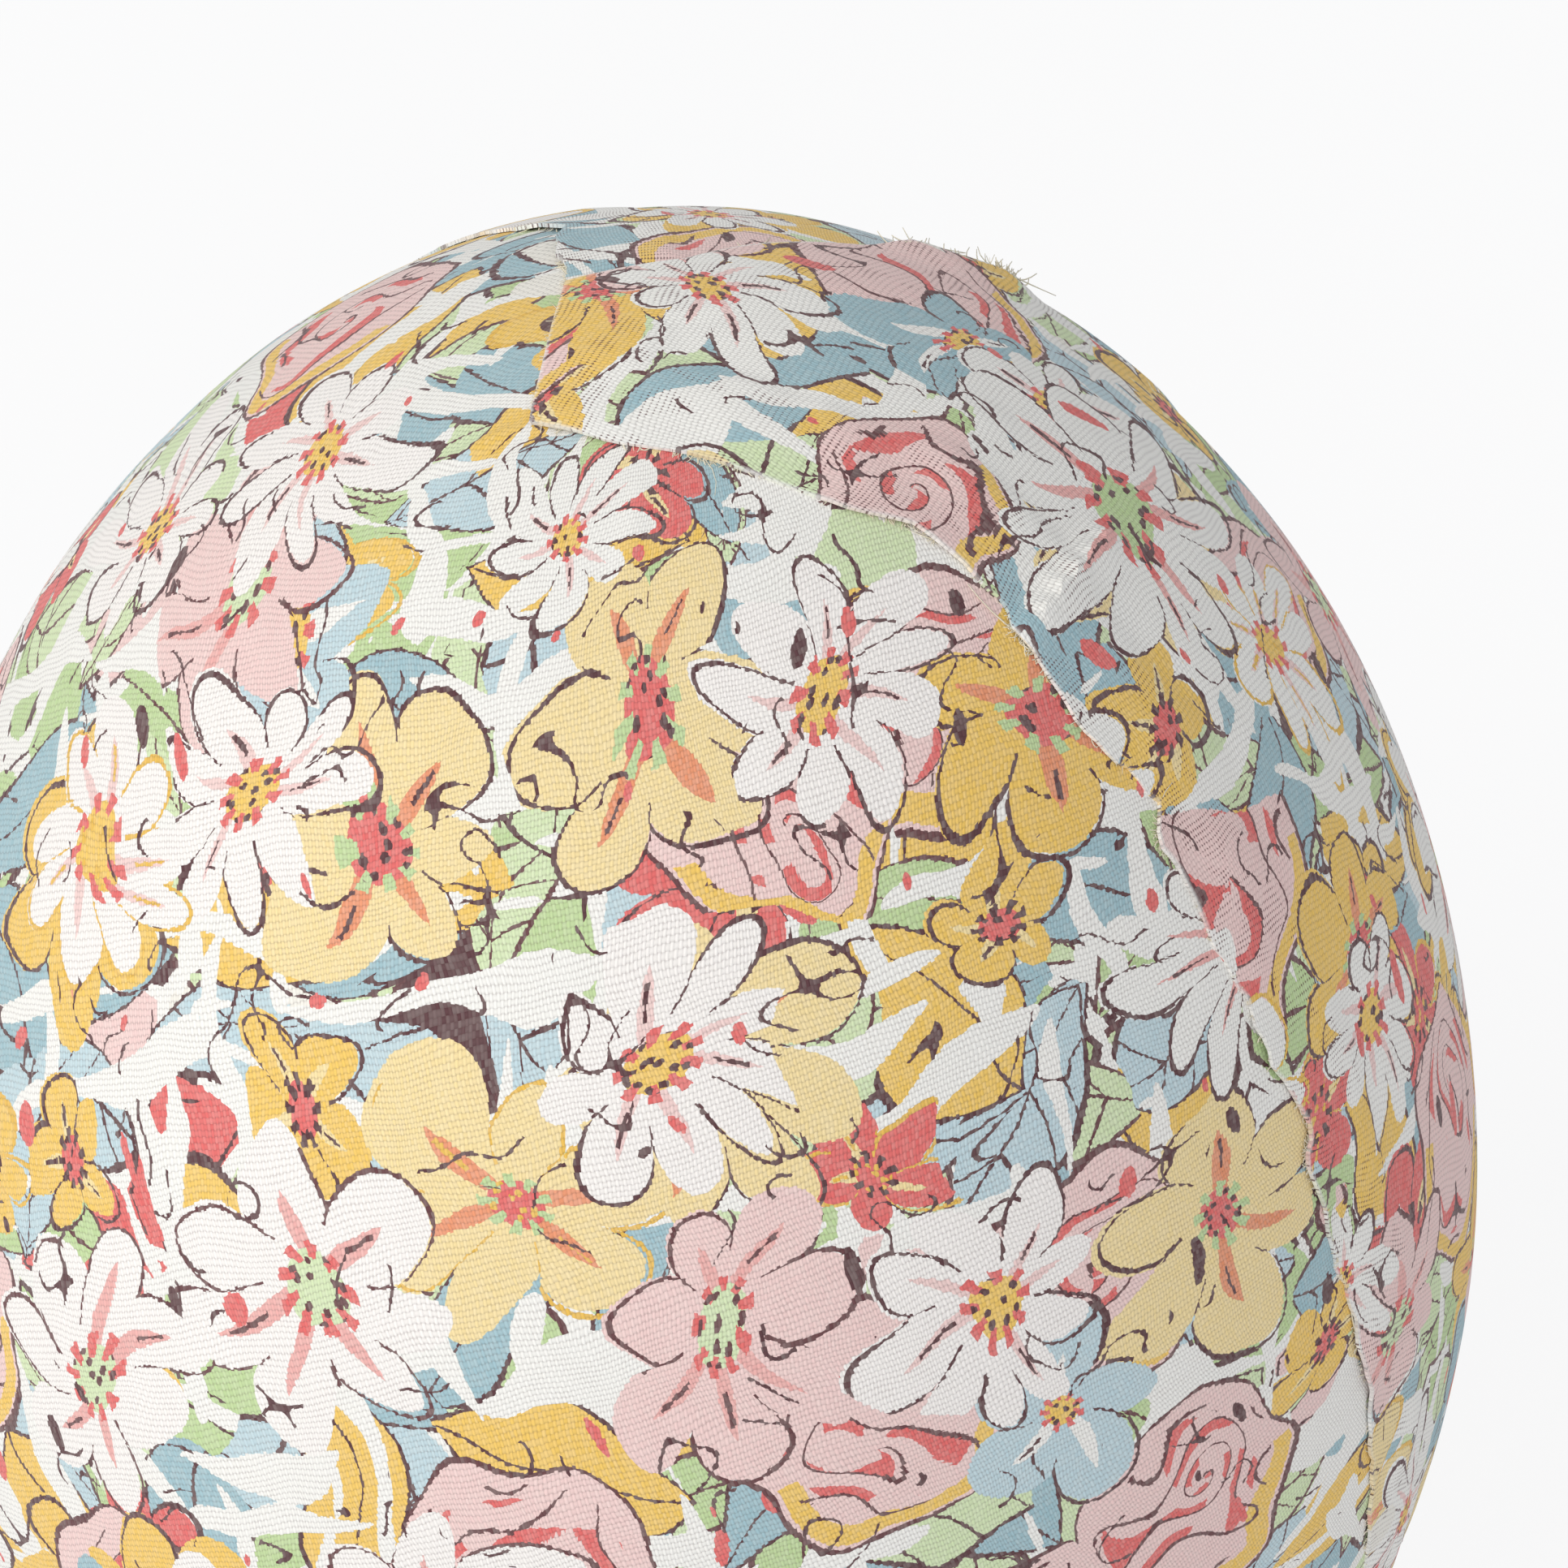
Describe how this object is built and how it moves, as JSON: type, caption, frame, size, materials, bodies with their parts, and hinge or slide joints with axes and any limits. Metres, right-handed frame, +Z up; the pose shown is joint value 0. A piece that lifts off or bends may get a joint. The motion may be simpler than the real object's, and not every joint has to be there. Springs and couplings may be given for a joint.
{
  "type": "pin cushion",
  "caption": "Egg-shaped pin cushion: a solid foam egg with a flat foot, wrapped in glued, lapped cotton lawn and closed underneath with card and felt.",
  "frame": {"origin": "middle of the felt disc's underside, on the surface that the egg stands on", "axes": "+Z up the egg's axis from the flat foot to the narrow end; -Y is the front and +X the right-hand side"},
  "size_m": [0.087, 0.087, 0.1101],
  "materials": {
    "core_foam": "moulded bead foam",
    "printed_lawn": "plain-woven cotton lawn with a floral print",
    "grey_card": "plain grey card",
    "wool_felt": "pressed felt"
  },
  "bodies": {
    "root": {"foam_core": "core_foam", "front_cloth_panel": "printed_lawn", "right_cloth_panel": "printed_lawn", "back_cloth_panel": "printed_lawn", "base_card": "grey_card", "base_felt": "wool_felt"}
  },
  "joints": []
}
